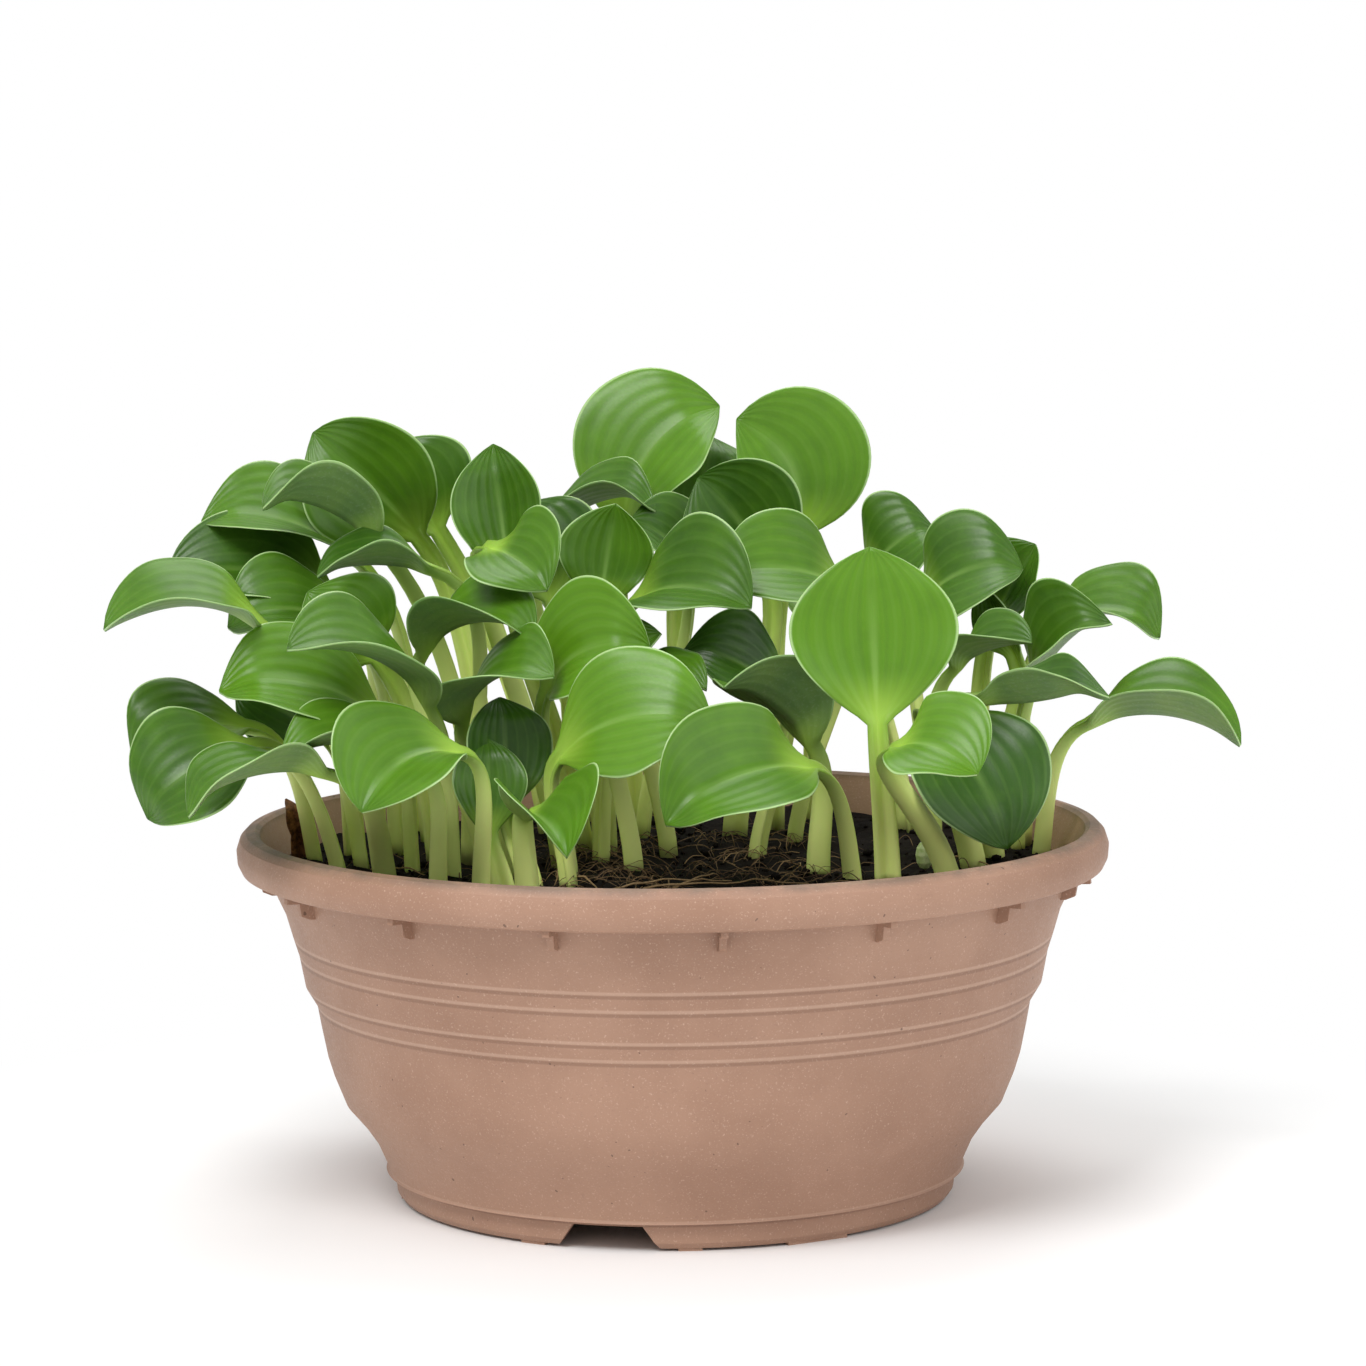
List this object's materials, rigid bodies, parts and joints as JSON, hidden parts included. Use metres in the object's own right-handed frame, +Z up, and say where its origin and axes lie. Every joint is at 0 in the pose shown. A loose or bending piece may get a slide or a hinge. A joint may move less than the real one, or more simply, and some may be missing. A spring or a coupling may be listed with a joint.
{
  "type": "potted hosta plant",
  "caption": "Low, dense miniature hosta with cupped oval leaves on pale stalks, in a round bowl planter with a rolled rim, stepped bands and a footed base.",
  "frame": {"origin": "on the floor under the middle of the pot", "axes": "+Z up, -Y towards the front, +X to the right along the plant's widest spread"},
  "size_m": [0.3876, 0.3035, 0.2832],
  "materials": {
    "pot": "fine-grained dusty terracotta-coloured plastic",
    "soil": "near-black crumbly peat with pale root fibres",
    "leaf": "thick satin leaf, mid green above, paler and bloomed below",
    "bud": "pale green fleshy shoot",
    "sheath": "brown, dry and papery"
  },
  "bodies": {
    "root": {"back_leaf_01": "leaf", "back_leaf_02": "leaf", "back_leaf_03": "leaf", "centre_leaf_01": "leaf", "centre_leaf_02": "leaf", "centre_leaf_03": "leaf", "centre_leaf_04": "leaf", "centre_leaf_05": "leaf", "centre_leaf_06": "leaf", "centre_leaf_07": "leaf", "centre_leaf_08": "leaf", "centre_leaf_09": "leaf", "centre_leaf_10": "leaf", "centre_leaf_11": "leaf", "centre_leaf_12": "leaf", "centre_leaf_13": "leaf", "centre_leaf_14": "leaf", "centre_leaf_15": "leaf", "centre_leaf_16": "leaf", "centre_leaf_17": "leaf", "centre_leaf_18": "leaf", "centre_leaf_19": "leaf", "dried_sheath": "sheath", "left_leaf_01": "leaf", "left_leaf_02": "leaf", "left_leaf_03": "leaf", "left_leaf_04": "leaf", "left_leaf_05": "leaf", "left_leaf_06": "leaf", "left_leaf_07": "leaf", "left_leaf_08": "leaf", "left_leaf_09": "leaf", "left_leaf_10": "leaf", "left_leaf_11": "leaf", "left_leaf_12": "leaf", "left_leaf_13": "leaf", "left_leaf_14": "leaf", "left_leaf_15": "leaf", "left_leaf_16": "leaf", "left_leaf_17": "leaf", "left_leaf_18": "leaf", "left_leaf_19": "leaf", "left_leaf_20": "leaf", "left_leaf_21": "leaf", "pot": "pot", "right_leaf_01": "leaf", "right_leaf_02": "leaf", "right_leaf_03": "leaf", "right_leaf_04": "leaf", "right_leaf_05": "leaf", "right_leaf_06": "leaf", "right_leaf_07": "leaf", "right_leaf_08": "leaf", "right_leaf_09": "leaf", "right_leaf_10": "leaf", "right_leaf_11": "leaf", "right_leaf_12": "leaf", "right_leaf_13": "leaf", "shoot_bud": "bud", "soil": "soil"}
  },
  "joints": []
}
